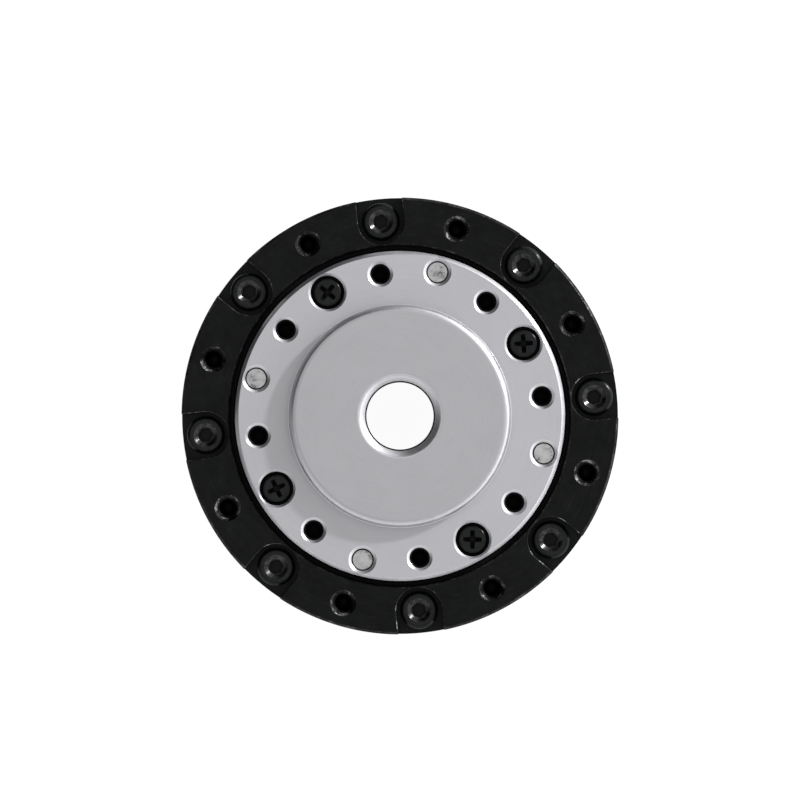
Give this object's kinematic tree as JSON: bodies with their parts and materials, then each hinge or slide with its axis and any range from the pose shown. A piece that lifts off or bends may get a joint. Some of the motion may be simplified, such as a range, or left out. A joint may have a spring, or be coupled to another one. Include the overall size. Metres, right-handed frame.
{
  "type": "cycloidal reducer",
  "caption": "Round hollow-shaft cycloidal speed reducer for a robot joint, with a black pinned-ring housing and a silver output flange.",
  "frame": {"origin": "centre of the rear face, on the reducer's axis", "axes": "+Z along the axis from the rear face to the output flange, +X through one of the housing screws and the rest position of disc A's eccentric"},
  "size_m": [0.066, 0.066, 0.0353],
  "materials": {
    "housing_black": "black anodised, turned",
    "flange_aluminium": "bare, satin turned",
    "black_oxide": "black oxide",
    "ground_steel": "ground",
    "bearing_steel": "polished",
    "machined_steel": "machined",
    "hardened_steel": "hardened and ground",
    "roller_bronze": "bronze, turned",
    "cage_brass": "machined",
    "seal_rubber": "matt"
  },
  "bodies": {
    "housing": {"rear_cover": "housing_black", "ring_gear_housing": "housing_black", "front_ring": "housing_black", "housing_screws": "black_oxide", "housing_dowels": "ground_steel", "ring_pins": "ground_steel", "main_bearing_outer_ring": "bearing_steel", "output_seal": "seal_rubber", "input_seal": "seal_rubber", "rear_bearing_outer_ring": "bearing_steel"},
    "input_shaft": {"eccentric_shaft": "machined_steel", "rear_spacer": "machined_steel", "front_spacer": "machined_steel", "rear_bearing_inner_ring": "bearing_steel", "front_bearing_inner_ring": "bearing_steel", "eccentric_a_bearing_inner_ring": "bearing_steel", "eccentric_b_bearing_inner_ring": "bearing_steel"},
    "output": {"output_flange": "flange_aluminium", "flange_screws": "black_oxide", "flange_dowels": "ground_steel", "carrier": "machined_steel", "output_pins": "ground_steel", "pin_support_ring": "machined_steel", "shaft_seal": "seal_rubber", "front_bearing_outer_ring": "bearing_steel"},
    "disc_a": {"cycloid_disc_a": "hardened_steel", "eccentric_a_bearing_outer_ring": "bearing_steel"},
    "disc_b": {"cycloid_disc_b": "hardened_steel", "eccentric_b_bearing_outer_ring": "bearing_steel"},
    "main_rollers": {"main_bearing_rollers": "bearing_steel"},
    "rear_cage": {"rear_bearing_cage": "cage_brass", "rear_bearing_balls": "bearing_steel"},
    "front_cage": {"front_bearing_cage": "cage_brass", "front_bearing_balls": "bearing_steel"},
    "eccentric_a_cage": {"eccentric_a_bearing_cage": "cage_brass", "eccentric_a_bearing_balls": "bearing_steel"},
    "eccentric_b_cage": {"eccentric_b_bearing_cage": "cage_brass", "eccentric_b_bearing_balls": "bearing_steel"},
    "roller_1": {"output_roller_1": "roller_bronze"},
    "roller_2": {"output_roller_2": "roller_bronze"},
    "roller_3": {"output_roller_3": "roller_bronze"},
    "roller_4": {"output_roller_4": "roller_bronze"},
    "roller_5": {"output_roller_5": "roller_bronze"},
    "roller_6": {"output_roller_6": "roller_bronze"},
    "roller_7": {"output_roller_7": "roller_bronze"},
    "roller_8": {"output_roller_8": "roller_bronze"}
  },
  "joints": [
    {"name": "input_spin", "type": "hinge", "parent": "housing", "child": "input_shaft", "pos_m": [0, 0, 0.016], "axis": [0, 0, 1], "continuous": true},
    {"name": "output_spin", "type": "hinge", "parent": "housing", "child": "output", "pos_m": [0, 0, 0.033], "axis": [0, 0, 1], "continuous": true},
    {"name": "disc_a_roll", "type": "hinge", "parent": "input_shaft", "child": "disc_a", "pos_m": [0.0006, 0, 0.0132], "axis": [0, 0, 1], "continuous": true},
    {"name": "disc_b_roll", "type": "hinge", "parent": "input_shaft", "child": "disc_b", "pos_m": [-0.0006, 0, 0.0187], "axis": [0, 0, 1], "continuous": true},
    {"name": "main_rollers_spin", "type": "hinge", "parent": "housing", "child": "main_rollers", "pos_m": [0, 0, 0.0256], "axis": [0, 0, 1], "continuous": true},
    {"name": "rear_cage_spin", "type": "hinge", "parent": "housing", "child": "rear_cage", "pos_m": [0, 0, 0.0052], "axis": [0, 0, 1], "continuous": true},
    {"name": "front_cage_spin", "type": "hinge", "parent": "output", "child": "front_cage", "pos_m": [0, 0, 0.0244], "axis": [0, 0, 1], "continuous": true},
    {"name": "eccentric_a_cage_spin", "type": "hinge", "parent": "input_shaft", "child": "eccentric_a_cage", "pos_m": [0.0006, 0, 0.0132], "axis": [0, 0, 1], "continuous": true},
    {"name": "eccentric_b_cage_spin", "type": "hinge", "parent": "input_shaft", "child": "eccentric_b_cage", "pos_m": [-0.0006, 0, 0.0187], "axis": [0, 0, 1], "continuous": true},
    {"name": "output_roller_1_spin", "type": "hinge", "parent": "output", "child": "roller_1", "pos_m": [0.0175, 0.00422, 0.016], "axis": [0, 0, 1], "continuous": true},
    {"name": "output_roller_2_spin", "type": "hinge", "parent": "output", "child": "roller_2", "pos_m": [0.00939, 0.01536, 0.016], "axis": [0, 0, 1], "continuous": true},
    {"name": "output_roller_3_spin", "type": "hinge", "parent": "output", "child": "roller_3", "pos_m": [-0.00422, 0.0175, 0.016], "axis": [0, 0, 1], "continuous": true},
    {"name": "output_roller_4_spin", "type": "hinge", "parent": "output", "child": "roller_4", "pos_m": [-0.01536, 0.00939, 0.016], "axis": [0, 0, 1], "continuous": true},
    {"name": "output_roller_5_spin", "type": "hinge", "parent": "output", "child": "roller_5", "pos_m": [-0.0175, -0.00422, 0.016], "axis": [0, 0, 1], "continuous": true},
    {"name": "output_roller_6_spin", "type": "hinge", "parent": "output", "child": "roller_6", "pos_m": [-0.00939, -0.01536, 0.016], "axis": [0, 0, 1], "continuous": true},
    {"name": "output_roller_7_spin", "type": "hinge", "parent": "output", "child": "roller_7", "pos_m": [0.00422, -0.0175, 0.016], "axis": [0, 0, 1], "continuous": true},
    {"name": "output_roller_8_spin", "type": "hinge", "parent": "output", "child": "roller_8", "pos_m": [0.01536, -0.00939, 0.016], "axis": [0, 0, 1], "continuous": true}
  ],
  "couplings": [
    {"joint": "output_spin", "follows": "input_spin", "ratio": -0.04},
    {"joint": "disc_a_roll", "follows": "input_spin", "ratio": -1.04},
    {"joint": "disc_b_roll", "follows": "input_spin", "ratio": -1.04},
    {"joint": "main_rollers_spin", "follows": "input_spin", "ratio": -0.02},
    {"joint": "rear_cage_spin", "follows": "input_spin", "ratio": 0.45556},
    {"joint": "front_cage_spin", "follows": "input_spin", "ratio": 0.47378},
    {"joint": "eccentric_a_cage_spin", "follows": "input_spin", "ratio": -0.57805},
    {"joint": "eccentric_b_cage_spin", "follows": "input_spin", "ratio": -0.57805},
    {"joint": "output_roller_1_spin", "follows": "input_spin", "ratio": -0.2496},
    {"joint": "output_roller_2_spin", "follows": "input_spin", "ratio": -0.2496},
    {"joint": "output_roller_3_spin", "follows": "input_spin", "ratio": -0.2496},
    {"joint": "output_roller_4_spin", "follows": "input_spin", "ratio": -0.2496},
    {"joint": "output_roller_5_spin", "follows": "input_spin", "ratio": -0.2496},
    {"joint": "output_roller_6_spin", "follows": "input_spin", "ratio": -0.2496},
    {"joint": "output_roller_7_spin", "follows": "input_spin", "ratio": -0.2496},
    {"joint": "output_roller_8_spin", "follows": "input_spin", "ratio": -0.2496}
  ]
}
